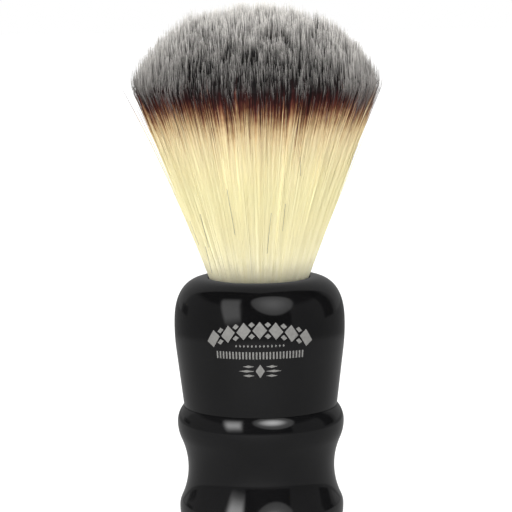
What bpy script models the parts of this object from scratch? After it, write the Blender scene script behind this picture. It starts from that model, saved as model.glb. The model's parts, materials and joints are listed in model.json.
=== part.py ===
"""Shaving brush: a weighted two-shell handle with a glued-in knot of synthetic filaments.

Units are metres, +Z is up, and the origin is the centre of the face the brush stands on.
Every piece is turned about the Z axis. Outlines are lists of (radius, height) points.
"""

import math

import bpy

MM = 0.001
GAP = 0.3 * MM
SHELL_STEPS = 64
INNER_STEPS = 36

# Handle, outside
RIM_Z = 57.4 * MM
SHOULDER_R = 18.65 * MM
SHOULDER_Z = 46.9 * MM
SHOULDER_INSET = 7.8 * MM
SHOULDER_POWER = 2.55
SIDE_ARC_R = 44.0 * MM
TAPER = math.radians(7.0)
CREASE_Z = 29.4 * MM
BEAD_R = 18.28 * MM
BEAD_Z = 25.55 * MM
BEAD_UPPER_ARC_R = 5.3 * MM
BEAD_LOWER_ARC_R = 9.0 * MM
WAIST_R = 16.1 * MM
WAIST_Z = 15.4 * MM
FOOT_R = 18.05 * MM
FOOT_ARC_R = 4.5 * MM
FOOT_EDGE_INSET = 2.6 * MM
SHELL_BOTTOM_Z = 0.6 * MM

# Handle, inside
SOCKET_R = 11.6 * MM
SOCKET_FLOOR_Z = 40.6 * MM
SOCKET_EDGE = 0.4 * MM
SPIGOT_R = 12.0 * MM
SPIGOT_Z = 24.5 * MM
INSERT_R = 4.0 * MM
INSERT_BORE_R = 2.8 * MM
INSERT_TOP_Z = 34.5 * MM
TIE_BORE_TOP_Z = 37.0 * MM
WEB_THICKNESS = 3.4 * MM
TIE_HOLE_R = 3.2 * MM
CAVITY_R = 12.6 * MM
COVER_R = 13.4 * MM
COVER_BOTTOM_Z = 1.2 * MM
COVER_TOP_Z = 3.0 * MM
PAD_EDGE_INSET = 0.8 * MM
PAD_TOP_Z = COVER_BOTTOM_Z - GAP

# Tie screw, its washer and the weight it clamps
SCREW_R = 2.5 * MM
SCREW_HEAD_R = 4.5 * MM
SCREW_HEAD_HEIGHT = 3.0 * MM
SCREW_SOCKET_R = 2.0 * MM
SCREW_SOCKET_DEPTH = 1.8 * MM
WASHER_R = 5.5 * MM
WASHER_THICKNESS = 1.0 * MM
WEIGHT_R = CAVITY_R - 0.4 * MM
WEIGHT_COUNTERBORE_R = 6.2 * MM
WEIGHT_COUNTERBORE_Z = 10.0 * MM
WEIGHT_CHAMFER = 0.8 * MM

# Knot
CUP_R = 10.5 * MM
CUP_WALL = 0.8 * MM
CUP_FLOOR = 1.0 * MM
CUP_TOP_Z = 52.6 * MM
BEDDING_R = SOCKET_R - GAP
BEDDING_WALL = BEDDING_R - CUP_R - GAP
BEDDING_FLOOR = 0.7 * MM
PLUG_HEIGHT = 7.5 * MM
KNOT_R_AT_RIM = 10.9 * MM
LOWER_FLARE = 0.379
FLARE_CHANGE_HEIGHT = 30.0 * MM
FAN_R = 26.9 * MM
FAN_EDGE_HEIGHT = 41.5 * MM
DOME_R = 31.4 * MM
LOFT = 59.5 * MM
BEND_SPHERE_R = 16.0 * MM

# Colours are linear RGB, each with roughness and metallic
FINISHES = {
    "handle_black": ((0.012, 0.012, 0.013), 0.16, 0.0),
    "steel": ((0.42, 0.42, 0.43), 0.38, 1.0),
    "brass": ((0.72, 0.51, 0.22), 0.32, 1.0),
    "cover_black": ((0.02, 0.02, 0.021), 0.55, 0.0),
    "pad_rubber": ((0.03, 0.03, 0.032), 0.85, 0.0),
    "adhesive": ((0.62, 0.53, 0.33), 0.35, 0.0),
    "cup_plastic": ((0.78, 0.76, 0.70), 0.5, 0.0),
    "filament_cream": ((0.80, 0.70, 0.44), 0.6, 0.0),
    "filament_dyed": ((0.30, 0.27, 0.23), 0.6, 0.0),
}


def clear_scene():
    for old in list(bpy.data.objects):
        bpy.data.objects.remove(old, do_unlink=True)


def make_finish(name):
    """A Principled material from the finishes above, made once and shared."""
    if name in bpy.data.materials:
        return bpy.data.materials[name]
    color, roughness, metallic = FINISHES[name]
    material = bpy.data.materials.new(name)
    material.use_nodes = True
    shader = material.node_tree.nodes["Principled BSDF"]
    shader.inputs["Base Color"].default_value = (*color, 1.0)
    shader.inputs["Roughness"].default_value = roughness
    shader.inputs["Metallic"].default_value = metallic
    material.diffuse_color = (*color, 1.0)
    return material


def arc(center, radius, start, end, count):
    """Points on a circle in the (radius, height) plane, from angle start to angle end."""
    points = []
    for i in range(count + 1):
        angle = start + (end - start) * i / count
        r = center[0] + radius * math.cos(angle)
        z = center[1] + radius * math.sin(angle)
        points.append((r, z))
    return points


def turned(name, outline, finish, collection, closed, parent, steps=SHELL_STEPS):
    """Turns an outline about Z. It runs down the outer side; an open one starts and ends on the axis."""
    mesh = bpy.data.meshes.new(name)
    points = [(r, 0.0, z - parent.location.z) for r, z in outline]
    edges = [(i, i + 1) for i in range(len(points) - 1)]
    if closed:
        edges.append((len(points) - 1, 0))
    mesh.from_pydata(points, edges, [])
    mesh.materials.append(make_finish(finish))
    piece = bpy.data.objects.new(name, mesh)
    collection.objects.link(piece)
    screw = piece.modifiers.new("Turn", "SCREW")
    screw.axis = "Z"
    screw.angle = math.tau
    screw.steps = steps
    screw.render_steps = steps
    screw.use_merge_vertices = True
    screw.merge_threshold = 0.00001
    screw.use_smooth_shade = True
    piece.parent = parent
    return piece


def shoulder_outline(count=13):
    """The rounded shoulder: a superellipse quarter from the rim's inner edge to the widest point."""
    height = RIM_Z - SHOULDER_Z
    middle_r = SHOULDER_R - SHOULDER_INSET
    first = (SOCKET_R + SOCKET_EDGE - middle_r) / SHOULDER_INSET
    start = math.acos(first ** (SHOULDER_POWER / 2))
    points = []
    for i in range(count + 1):
        angle = start * (1 - i / count)
        r = middle_r + SHOULDER_INSET * math.cos(angle) ** (2 / SHOULDER_POWER)
        z = SHOULDER_Z + height * math.sin(angle) ** (2 / SHOULDER_POWER)
        points.append((r, z))
    return points


def crease_radius():
    """Radius where the straight taper ends at the crease."""
    arc_end_r = SHOULDER_R - SIDE_ARC_R * (1 - math.cos(TAPER))
    arc_end_z = SHOULDER_Z - SIDE_ARC_R * math.sin(TAPER)
    return arc_end_r - (arc_end_z - CREASE_Z) * math.tan(TAPER)


def barrel_side_outline():
    """Below the widest point: a slack arc that runs into the straight taper, down to the crease."""
    center = (SHOULDER_R - SIDE_ARC_R, SHOULDER_Z)
    points = arc(center, SIDE_ARC_R, 0.0, -TAPER, 3)[1:]
    points.append((crease_radius(), CREASE_Z))
    return points


def make_barrel_shell(collection, parent):
    rim_z = shoulder_outline()[0][1]
    outline = shoulder_outline() + barrel_side_outline()
    outline += [
        (SPIGOT_R, CREASE_Z),
        (SPIGOT_R, SPIGOT_Z),
        (INSERT_R + GAP, SPIGOT_Z),
        (INSERT_R + GAP, INSERT_TOP_Z + GAP),
        (INSERT_BORE_R, INSERT_TOP_Z + GAP),
        (INSERT_BORE_R, TIE_BORE_TOP_Z),
        (0.0, TIE_BORE_TOP_Z),
    ]
    floor = [(0.0, SOCKET_FLOOR_Z), (SOCKET_R, SOCKET_FLOOR_Z), (SOCKET_R, rim_z - SOCKET_EDGE)]
    return turned("barrel_shell", floor + outline, "handle_black", collection, False, parent)


def grip_arcs():
    """Centres and radii of the bead, the waist and the foot, each tangent to the next."""
    bead_center = (BEAD_R - BEAD_LOWER_ARC_R, BEAD_Z)
    inset = WAIST_R - bead_center[0]
    drop = BEAD_Z - WAIST_Z
    waist_arc_r = (inset**2 + drop**2 - BEAD_LOWER_ARC_R**2) / (2 * (BEAD_LOWER_ARC_R - inset))
    waist_center = (WAIST_R + waist_arc_r, WAIST_Z)
    foot_center_r = FOOT_R - FOOT_ARC_R
    across = waist_center[0] - foot_center_r
    foot_drop = math.sqrt((waist_arc_r + FOOT_ARC_R) ** 2 - across**2)
    foot_center = (foot_center_r, WAIST_Z - foot_drop)
    return bead_center, waist_center, waist_arc_r, foot_center


def grip_side_outline():
    """From the crease over the bead, in at the waist and out over the foot to its lower edge."""
    bead_center, waist_center, waist_arc_r, foot_center = grip_arcs()
    upper_center = (BEAD_R - BEAD_UPPER_ARC_R, BEAD_Z)
    top_z = CREASE_Z - GAP
    first = math.asin((top_z - BEAD_Z) / BEAD_UPPER_ARC_R)
    points = arc(upper_center, BEAD_UPPER_ARC_R, first, 0.0, 5)
    to_waist = math.atan2(WAIST_Z - BEAD_Z, waist_center[0] - bead_center[0])
    points += arc(bead_center, BEAD_LOWER_ARC_R, 0.0, to_waist, 4)[1:]
    to_foot = math.atan2(foot_center[1] - WAIST_Z, foot_center[0] - waist_center[0])
    from_waist = to_waist + math.pi
    points += arc(waist_center, waist_arc_r, from_waist, to_foot + math.tau, 9)[1:]
    points += arc(foot_center, FOOT_ARC_R, to_foot + math.pi, 0.0, 4)[1:]
    return points + foot_edge_outline(foot_center[1])


def foot_edge_outline(foot_z, count=6):
    """The foot's lower edge: an ellipse quarter down to the bottom of the shell."""
    middle_r = FOOT_R - FOOT_EDGE_INSET
    height = foot_z - SHELL_BOTTOM_Z
    points = []
    for i in range(1, count + 1):
        angle = math.pi / 2 * i / count
        points.append((middle_r + FOOT_EDGE_INSET * math.cos(angle), foot_z - height * math.sin(angle)))
    return points


def web_top():
    return SPIGOT_Z - GAP


def web_bottom():
    return web_top() - WEB_THICKNESS


def make_grip_shell(collection, parent):
    inside = [
        (COVER_R + GAP, SHELL_BOTTOM_Z),
        (COVER_R + GAP, COVER_TOP_Z + GAP),
        (CAVITY_R, COVER_TOP_Z + GAP),
        (CAVITY_R, web_bottom()),
        (TIE_HOLE_R, web_bottom()),
        (TIE_HOLE_R, web_top()),
        (SPIGOT_R + GAP, web_top()),
        (SPIGOT_R + GAP, CREASE_Z - GAP),
    ]
    outline = grip_side_outline() + inside
    return turned("grip_shell", outline, "handle_black", collection, True, parent)


def make_counterweight(collection, parent):
    top = web_bottom() - GAP
    bottom = COVER_TOP_Z + 2 * GAP
    outline = [
        (WEIGHT_R - WEIGHT_CHAMFER, top),
        (WEIGHT_R, top - WEIGHT_CHAMFER),
        (WEIGHT_R, bottom + WEIGHT_CHAMFER),
        (WEIGHT_R - WEIGHT_CHAMFER, bottom),
        (WEIGHT_COUNTERBORE_R, bottom),
        (WEIGHT_COUNTERBORE_R, WEIGHT_COUNTERBORE_Z),
        (TIE_HOLE_R, WEIGHT_COUNTERBORE_Z),
        (TIE_HOLE_R, top),
    ]
    return turned("counterweight", outline, "steel", collection, True, parent, INNER_STEPS)


def make_screw_washer(collection, parent):
    top = WEIGHT_COUNTERBORE_Z - GAP
    bottom = top - WASHER_THICKNESS
    outline = [(WASHER_R, top), (WASHER_R, bottom), (TIE_HOLE_R, bottom), (TIE_HOLE_R, top)]
    return turned("screw_washer", outline, "steel", collection, True, parent, INNER_STEPS)


def make_tie_screw(collection, parent):
    """The screw that clamps the weight and both shells; its driving socket faces down."""
    head_top = WEIGHT_COUNTERBORE_Z - WASHER_THICKNESS - 2 * GAP
    head_bottom = head_top - SCREW_HEAD_HEIGHT
    socket_top = head_bottom + SCREW_SOCKET_DEPTH
    tip = INSERT_TOP_Z - GAP
    chamfer = 0.5 * MM
    outline = [
        (0.0, tip),
        (SCREW_R - chamfer, tip),
        (SCREW_R, tip - chamfer),
        (SCREW_R, head_top),
        (SCREW_HEAD_R, head_top),
        (SCREW_HEAD_R, head_bottom + chamfer),
        (SCREW_HEAD_R - chamfer, head_bottom),
        (SCREW_SOCKET_R, head_bottom),
        (SCREW_SOCKET_R, socket_top),
        (0.0, socket_top),
    ]
    return turned("tie_screw", outline, "steel", collection, False, parent, INNER_STEPS)


def make_threaded_insert(collection, parent):
    bottom = SPIGOT_Z
    outline = [
        (INSERT_R, INSERT_TOP_Z),
        (INSERT_R, bottom),
        (INSERT_BORE_R, bottom),
        (INSERT_BORE_R, INSERT_TOP_Z),
    ]
    return turned("threaded_insert", outline, "brass", collection, True, parent, INNER_STEPS)


def make_base_cover(collection, parent):
    outline = [
        (0.0, COVER_TOP_Z),
        (COVER_R, COVER_TOP_Z),
        (COVER_R, COVER_BOTTOM_Z),
        (0.0, COVER_BOTTOM_Z),
    ]
    return turned("base_cover", outline, "cover_black", collection, False, parent)


def make_foot_pad(collection, parent):
    radius = COVER_R - PAD_EDGE_INSET
    edge = 0.25 * MM
    outline = [(0.0, PAD_TOP_Z), (radius, PAD_TOP_Z), (radius, edge), (radius - edge, 0.0), (0.0, 0.0)]
    return turned("foot_pad", outline, "pad_rubber", collection, False, parent)


def bedding_floor_top():
    return SOCKET_FLOOR_Z + GAP + BEDDING_FLOOR


def cup_floor_top():
    return bedding_floor_top() + GAP + CUP_FLOOR


def make_socket_bedding(collection, parent):
    """The thin skin of adhesive between the socket and the cup."""
    bottom = SOCKET_FLOOR_Z + GAP
    top = CUP_TOP_Z - GAP
    inner_r = BEDDING_R - BEDDING_WALL
    outline = [
        (0.0, bedding_floor_top()),
        (inner_r, bedding_floor_top()),
        (inner_r, top),
        (BEDDING_R, top),
        (BEDDING_R, bottom),
        (0.0, bottom),
    ]
    return turned("socket_bedding", outline, "adhesive", collection, False, parent)


def make_knot_cup(collection, parent):
    bottom = bedding_floor_top() + GAP
    inner_r = CUP_R - CUP_WALL
    outline = [
        (0.0, cup_floor_top()),
        (inner_r, cup_floor_top()),
        (inner_r, CUP_TOP_Z),
        (CUP_R, CUP_TOP_Z),
        (CUP_R, bottom),
        (0.0, bottom),
    ]
    return turned("knot_cup", outline, "cup_plastic", collection, False, parent)


def bundle_radius():
    return CUP_R - CUP_WALL - GAP


def plug_top():
    return cup_floor_top() + GAP + PLUG_HEIGHT


def make_knot_plug(collection, parent):
    bottom = cup_floor_top() + GAP
    radius = bundle_radius()
    outline = [(0.0, plug_top()), (radius, plug_top()), (radius, bottom), (0.0, bottom)]
    return turned("knot_plug", outline, "adhesive", collection, False, parent)


def flare_meets_sphere(radius):
    """Angle above the rim plane at which the flaring knot crosses a sphere about the bend centre."""
    a = 1 + LOWER_FLARE**2
    b = 2 * LOWER_FLARE * KNOT_R_AT_RIM
    c = KNOT_R_AT_RIM**2 - radius**2
    height = (-b + math.sqrt(b * b - 4 * a * c)) / (2 * a)
    return math.asin(height / radius)


def make_filament_root(collection, parent):
    """The fixed lowest stretch of the filaments, with a round top that the free stretch rolls over."""
    edge = flare_meets_sphere(BEND_SPHERE_R)
    outline = arc((0.0, RIM_Z), BEND_SPHERE_R, math.pi / 2, edge, 7)
    outline[0] = (0.0, RIM_Z + BEND_SPHERE_R)
    straight_top = RIM_Z - (KNOT_R_AT_RIM - bundle_radius()) / LOWER_FLARE
    outline += [
        (bundle_radius(), straight_top),
        (bundle_radius(), plug_top() + GAP),
        (0.0, plug_top() + GAP),
    ]
    return turned("filament_root", outline, "filament_cream", collection, False, parent)


def knot_side_outline():
    """The free filaments' outside, from the top of the dome over its edge and down the two flares."""
    center_height = LOFT - DOME_R
    edge_angle = math.acos(FAN_R / DOME_R)
    points = arc((0.0, RIM_Z + center_height), DOME_R, math.pi / 2, edge_angle, 12)
    points[0] = (0.0, RIM_Z + LOFT)
    points.append((FAN_R, RIM_Z + FAN_EDGE_HEIGHT))
    change_r = KNOT_R_AT_RIM + LOWER_FLARE * FLARE_CHANGE_HEIGHT
    points.append((change_r, RIM_Z + FLARE_CHANGE_HEIGHT))
    return points


def make_filament_fan(collection, parent):
    """The free stretch of the filaments as one closed soft solid, hollowed below to roll over the root."""
    lower_r = BEND_SPHERE_R + GAP
    edge = flare_meets_sphere(lower_r)
    below = arc((0.0, RIM_Z), lower_r, edge, math.pi / 2, 7)
    below[-1] = (0.0, RIM_Z + lower_r)
    outline = knot_side_outline() + below
    return turned("filament_fan", outline, "filament_dyed", collection, False, parent)


def make_axis(name, height, collection, parent=None):
    """An empty that carries one body; its origin is on that body's joint."""
    axis = bpy.data.objects.new(name, None)
    axis.empty_display_size = 10 * MM
    collection.objects.link(axis)
    axis.location.z = height
    axis.parent = parent
    return axis


def build_shaving_brush():
    clear_scene()
    collection = bpy.data.collections.new("shaving_brush")
    bpy.context.scene.collection.children.link(collection)
    handle = make_axis("handle", 0.0, collection)
    make_barrel_shell(collection, handle)
    make_grip_shell(collection, handle)
    make_counterweight(collection, handle)
    make_screw_washer(collection, handle)
    make_tie_screw(collection, handle)
    make_threaded_insert(collection, handle)
    make_base_cover(collection, handle)
    make_foot_pad(collection, handle)
    make_socket_bedding(collection, handle)
    make_knot_cup(collection, handle)
    make_knot_plug(collection, handle)
    make_filament_root(collection, handle)
    knot = make_axis("knot_bend", RIM_Z, collection, handle)
    make_filament_fan(collection, knot)


build_shaving_brush()
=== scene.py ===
"""Looks of the shaving brush: filament knot, glossy black handle, printed ornament, light and camera.

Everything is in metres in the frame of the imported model: the brush stands on z = 0 and its front faces -Y.
"""

import json
import math

import bmesh
import bpy
import numpy as np
from mathutils import Matrix, Vector, kdtree


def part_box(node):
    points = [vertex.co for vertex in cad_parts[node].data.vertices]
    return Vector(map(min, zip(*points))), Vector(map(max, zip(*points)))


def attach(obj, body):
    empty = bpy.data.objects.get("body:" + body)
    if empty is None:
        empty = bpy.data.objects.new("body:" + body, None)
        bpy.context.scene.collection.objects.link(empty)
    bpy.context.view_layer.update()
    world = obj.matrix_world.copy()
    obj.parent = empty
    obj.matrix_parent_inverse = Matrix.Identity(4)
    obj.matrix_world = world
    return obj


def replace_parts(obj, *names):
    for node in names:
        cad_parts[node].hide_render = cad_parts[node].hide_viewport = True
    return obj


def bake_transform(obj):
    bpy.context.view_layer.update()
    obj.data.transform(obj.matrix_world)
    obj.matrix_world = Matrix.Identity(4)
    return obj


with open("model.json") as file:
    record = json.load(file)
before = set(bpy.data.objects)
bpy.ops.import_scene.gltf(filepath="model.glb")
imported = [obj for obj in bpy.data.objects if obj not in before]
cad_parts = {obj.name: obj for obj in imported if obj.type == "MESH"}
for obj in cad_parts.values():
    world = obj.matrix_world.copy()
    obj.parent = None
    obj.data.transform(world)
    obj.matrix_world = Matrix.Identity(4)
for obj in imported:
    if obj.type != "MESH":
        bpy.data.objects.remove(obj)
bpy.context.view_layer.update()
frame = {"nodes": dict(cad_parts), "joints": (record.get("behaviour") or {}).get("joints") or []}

MM = 0.001
SEED = 20


def srgb(r, g, b):
    """Linear colour from 0 to 255 display values."""
    def linear(value):
        value /= 255
        return value / 12.92 if value <= 0.04045 else ((value + 0.055) / 1.055) ** 2.4
    return (linear(r), linear(g), linear(b))


# Read from the frame
RIM_Z = frame["joints"][0]["pos_m"][2]
GRIP_TOP_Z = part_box("grip_shell")[1][2]
SHOULDER_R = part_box("barrel_shell")[1][0]
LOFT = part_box("filament_fan")[1][2] - RIM_Z

# Handle outline
SHOULDER_DROP = 10.5 * MM
SHOULDER_INSET = 7.8 * MM
SHOULDER_POWER = 2.55
LIP_R = 11.15 * MM
LIP_EDGE = 0.3 * MM
SIDE_ARC_R = 44.0 * MM
TAPER = math.radians(7.0)
BEAD_R = 18.28 * MM
BEAD_Z = 25.55 * MM
BEAD_UPPER_ARC_R = 5.3 * MM
BEAD_LOWER_ARC_R = 9.0 * MM
WAIST_R = 16.1 * MM
WAIST_Z = 15.4 * MM
FOOT_R = 18.05 * MM
FOOT_ARC_R = 4.5 * MM
FOOT_EDGE_INSET = 2.6 * MM
SEAM = 0.03 * MM
SEAM_EDGE_R = 0.06 * MM
SHELL_WALL = 1.2 * MM
LIP_DEPTH = 9.0 * MM
GRIP_TOP_WALL = 2.0 * MM
COVER_GAP = 0.3 * MM
TURNING_STEPS = 240

# Printed ornament: heights above the standing face, and lengths along the barrel's surface
INK_THICKNESS = 0.03 * MM
ARCH_Z = 48.45 * MM
ARCH_DROP = 2.8 * MM
ARCH_HALF_LENGTH = 12.0 * MM
ARCH_HALF_HEIGHT = 1.85 * MM
ARCH_SPACING = 3.45 * MM
SMALL_ROW_Z = 45.05 * MM
TICK_ROW_Z = 43.0 * MM
EMBLEM_Z = 39.6 * MM
INK_ROWS = 6

# Filament knot; heights are above the rim
STRANDS = 24500
STRAND_GROUPS = 7
STRAND_SIDES = 3
STRAND_R = 0.078 * MM
TIP_R = 0.014 * MM
ROOT_DEPTH = 2.6 * MM
KNOT_R_AT_RIM = 10.9 * MM
LOWER_FLARE = 0.379
FLARE_CHANGE_HEIGHT = 30.0 * MM
FAN_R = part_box("filament_fan")[1][0]
FAN_EDGE_HEIGHT = 41.5 * MM
DOME_R = 29.8 * MM
DOME_BASE_HEIGHT = 28.1 * MM
DOME_POWER = 2.25
TIP_STATIONS = np.array([13.0, 8.0, 4.2, 1.6, 0.0]) * MM
BODY_STATIONS = 5
STRAND_TAPER_POWER = 0.75
THINNEST_STRAND = 0.8
TONE_THICKENING = 0.4

# How the strands differ; pulls are shares of the knot's radius, and rho runs from 0 on its axis to 1 outside
RHO_SCATTER = 0.002
TURN_SCATTER = 0.006
INNERMOST_RHO = 0.003
TUFTS = 4200
TUFT_LENGTH = 20.0 * MM
TUFT_POWER = 1.5
TUFT_PULL = (0.2, 0.6)
TUFT_LEAN = 0.008
TUFT_LOSS = 1.6 * MM
LOCKS = 420
LOCK_PULL = (0.1, 0.4)
LOCK_LOSS = 2.2 * MM
TIP_SCATTER = 0.8 * MM
TIP_RISE = 1.5 * MM
SHORT_SHARE = 0.15
SHORT_LOSS = 5.0 * MM
OUTER_SHORT_RHO = 0.88
OUTER_SHORT_SHARE = 0.22
OUTER_SHORT_LOSS = 9.0 * MM
OUTER_SPREAD = 0.35 * MM
LOOSE_RHO = 0.9
LOOSE_SHARE = 0.3
LOOSE_SPREAD = 1.0 * MM
LEAN = 0.24 * MM
WILD_SHARE = 0.03
WILD_LEAN = 1.3 * MM
WAVE_SIZE = (0.01 * MM, 0.05 * MM)
WAVE_RADIANS_PER_M = (150, 320)
TOP_LEAN = -0.6 * MM

# Tone, which lengthens a strand's pale tip and lightens it a little: how it changes outwards, and towards the
# knot's left and right, where the added tone is painted side light
TUFT_TONE_SHARE = 0.6
OUTWARD_RHO = (0.6, 0.95)
OUTER_TONE = 0.6
PAINTED_SIDE_LIGHT_PLACES = (0.5, 0.85)
PAINTED_SIDE_LIGHT = 0.75
SKIN_RHO = (0.9, 1.0)
SKIN_SIDE_LIGHT_SHARE = 0.6
TONE_COLUMNS = 256
TONE_COLUMN_SPREAD = 0.3
UV_MARGIN = 2.0 * MM
TIP_CLASSES = 32

# Dye by height, and the colour of the pale tips by height. The cream is paler over its lowest 7 mm: painted
# light against the shade near the rim.
DYE_AND_LIGHT_STOPS = (
    (0.0 * MM, srgb(255, 249, 218)),
    (3.0 * MM, srgb(253, 246, 210)),
    (7.0 * MM, srgb(248, 240, 197)),
    (12.0 * MM, srgb(249, 240, 193)),
    (19.0 * MM, srgb(246, 238, 190)),
    (27.0 * MM, srgb(243, 231, 185)),
    (30.5 * MM, srgb(244, 228, 184)),
    (33.5 * MM, srgb(224, 198, 151)),
    (35.6 * MM, srgb(167, 126, 88)),
    (37.2 * MM, srgb(107, 58, 45)),
    (38.8 * MM, srgb(60, 23, 22)),
    (40.6 * MM, srgb(31, 15, 16)),
    (44.0 * MM, srgb(15, 14, 15)),
    (50.0 * MM, srgb(22, 21, 21)),
    (54.5 * MM, srgb(66, 64, 62)),
    (58.5 * MM, srgb(128, 125, 121)),
)
# The pale tips lighten towards the dome's top: partly their own grey, partly painted light from above and
# through the tips.
TIP_STOPS = (
    (38.0 * MM, srgb(152, 149, 145)),
    (46.0 * MM, srgb(172, 169, 165)),
    (51.0 * MM, srgb(196, 193, 188)),
    (55.0 * MM, srgb(216, 213, 208)),
    (58.5 * MM, srgb(234, 231, 225)),
)
DYE_SPREAD = 1.7 * MM
DYE_PATCH = 3.0 * MM
PALE_REACH = 1.8 * MM
TONE_REACH = 8.0 * MM
TONE_REACH_POWER = 3.0
LOW_TONE_VALUE = 0.97
VALUE_BY_TONE = 0.06

# The ribbed core between the strands, and the dark strays outside them
CORE_RIBS = 540
CORE_RIB_SIZE = (0.994, 1.006)
CORE_ROWS = 28
CORE_INSET = 0.45 * MM
CORE_TOP_INSET = 1.7 * MM
CORE_INSET_HEIGHTS = (0.6 * FAN_EDGE_HEIGHT, FAN_EDGE_HEIGHT)
CORE_TOP = 50.0 * MM
CORE_DOME_SHARES = ((0.5, 0.985), (0.8, 0.94), (0.96, 0.87))
STRAYS = 16
STRAY_STATIONS = 9
STRAY_FOOT = (1.0 * MM, 24.0 * MM)
STRAY_LENGTH = (4.0 * MM, 11.0 * MM)
STRAY_GAP = 0.05 * MM
STRAY_SLANT = 0.05
STRAY_THICKNESS = 0.5
STRAY_TONE = (0, 0.3)
STRAY_TIP_DISTANCE = 30.0 * MM

# Camera, in front of the brush and looking along +Y
CAMERA_DISTANCE = 500.0 * MM
CAMERA_Z = 128.8 * MM
CAMERA_PITCH = math.radians(7.63)
CAMERA_YAW = math.radians(0.07)
CAMERA_ROLL = math.radians(-0.72)
CAMERA_LENS_MM = 162.6

# Studio: brightness of the room and the table top as the gloss meets them, and of the even soft light.
# Edges in the room are in degrees, of elevation for the ceiling and of azimuth for the back.
ROOM_FRONT = 0.17
CEILING_EDGE = (28, 40)
CEILING_DARKENING = 0.9
ROOM_BACK = 0.26
BACK_EDGE = (121, 131)
BACK_MIDDLE_EDGE = (150, 172)
BACK_MIDDLE_DARKENING = 0.1
SOFT_LIGHT = 0.88
FILL_LIGHT = 0.9
LOW_FILL_LIGHT = 2.8
FLOOR_SHADE = 0.5
FLOOR_GLOW = 0.7
TABLE_EDGE_R = (204.0 * MM, 264.0 * MM)
TABLE_GLOW = 0.30
OFF_TABLE_DARKENING = 0.45
TABLE_SPOT = (-20.0 * MM, -170.0 * MM, 0.0)
TABLE_SPOT_R = (140.0 * MM, 30.0 * MM)
TABLE_SPOT_GLOW = 0.12
SOFTBOX_DISTANCE = 0.6
CORE_DISTANCE = 0.57
LIGHT_AIM_Z = 45.0 * MM
FLOOR_SIZE = 6.0
# Dark patches of the room: azimuths and elevations with their soft edges, in degrees, and the share they take
DARK_PATCHES = (
    ((-25, 44, 2), (-4, 84, 4), 0.94),
    ((98, 120, 3), (-95, 95, 3), 0.85),
    ((-134, -115, 3), (-14, 8, 3), 0.65),
)


# ---------------------------------------------------------------- node helpers

def new_material(name):
    material = bpy.data.materials.new(name)
    material.use_nodes = True
    nodes = material.node_tree.nodes
    return material, nodes, material.node_tree.links, nodes["Principled BSDF"]


def add(nodes, kind, **values):
    """A new node; values are properties of the node, or defaults of the inputs with that name."""
    node = nodes.new(kind)
    for key, value in values.items():
        if hasattr(node, key):
            setattr(node, key, value)
        else:
            node.inputs[key.replace("_", " ")].default_value = value
    return node


def ramp(nodes, stops):
    """A colour ramp with (place, colour) stops."""
    node = nodes.new("ShaderNodeValToRGB")
    elements = node.color_ramp.elements
    while len(elements) > 1:
        elements.remove(elements[-1])
    for i, (place, color) in enumerate(stops):
        element = elements[0] if i == 0 else elements.new(place)
        element.position = place
        element.color = (*color, 1.0)
    return node


def calculate(nodes, links, operation, *sources):
    """The output of one Math node on sockets or plain numbers."""
    node = add(nodes, "ShaderNodeMath", operation=operation)
    for socket, source in zip(node.inputs, sources):
        if isinstance(source, (int, float)):
            socket.default_value = source
        else:
            links.new(source, socket)
    return node.outputs[0]


# ---------------------------------------------------------------- turned pieces

def arc(center, radius, start, end, count):
    angles = np.linspace(start, end, count + 1)
    return [(center[0] + radius * math.cos(a), center[1] + radius * math.sin(a)) for a in angles]


def weld_poles(mesh):
    """Joins the points that an open outline leaves together on the axis."""
    solid = bmesh.new()
    solid.from_mesh(mesh)
    bmesh.ops.remove_doubles(solid, verts=solid.verts, dist=0.001 * MM)
    solid.to_mesh(mesh)
    solid.free()


def turned(name, outline, material=None, closed=True, steps=TURNING_STEPS):
    """Turns a (radius, height) outline, run down its outer side, about Z into a smooth closed mesh."""
    points = np.array(outline)
    count = len(points)
    angles = np.arange(steps) * (math.tau / steps)
    verts = np.empty((count, steps, 3))
    verts[:, :, 0] = points[:, :1] * np.cos(angles)
    verts[:, :, 1] = points[:, :1] * np.sin(angles)
    verts[:, :, 2] = points[:, 1:]
    rows = np.arange(count if closed else count - 1)
    below = (rows + 1) % count
    columns = np.arange(steps)
    beside = (columns + 1) % steps
    quads = np.stack(
        [
            rows[:, None] * steps + columns,
            below[:, None] * steps + columns,
            below[:, None] * steps + beside,
            rows[:, None] * steps + beside,
        ],
        axis=-1,
    ).reshape(-1, 4)
    mesh = bpy.data.meshes.new(name)
    mesh.from_pydata(verts.reshape(-1, 3), [], quads)
    lengths = np.hypot(*np.diff(np.vstack([points, points[:1]]), axis=0).T)
    along = np.concatenate([[0.0], np.cumsum(lengths)]) / lengths.sum()
    u = np.stack([columns, columns, columns + 1, columns + 1], axis=-1) / steps
    v = np.stack([along[rows], along[rows + 1], along[rows + 1], along[rows]], axis=-1)
    uv = np.empty((len(rows), steps, 4, 2))
    uv[..., 0] = u[None]
    uv[..., 1] = v[:, None]
    mesh.uv_layers.new(name="OFBake").data.foreach_set("uv", uv.ravel())
    if not closed:
        weld_poles(mesh)
    if material:
        mesh.materials.append(material)
    mesh.shade_smooth()
    mesh.set_sharp_from_angle(angle=math.radians(35))
    piece = bpy.data.objects.new(name, mesh)
    bpy.context.scene.collection.objects.link(piece)
    return piece


def shoulder_outline(count=60):
    """The rounded shoulder: a superellipse quarter from the rim's inner edge to the widest point."""
    middle_r = SHOULDER_R - SHOULDER_INSET
    first = (LIP_R + LIP_EDGE - middle_r) / SHOULDER_INSET
    start = math.acos(first ** (SHOULDER_POWER / 2))
    points = []
    for angle in np.linspace(start, 0.0, count):
        r = middle_r + SHOULDER_INSET * math.cos(angle) ** (2 / SHOULDER_POWER)
        z = RIM_Z - SHOULDER_DROP + SHOULDER_DROP * math.sin(angle) ** (2 / SHOULDER_POWER)
        points.append((r, z))
    return points


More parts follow.
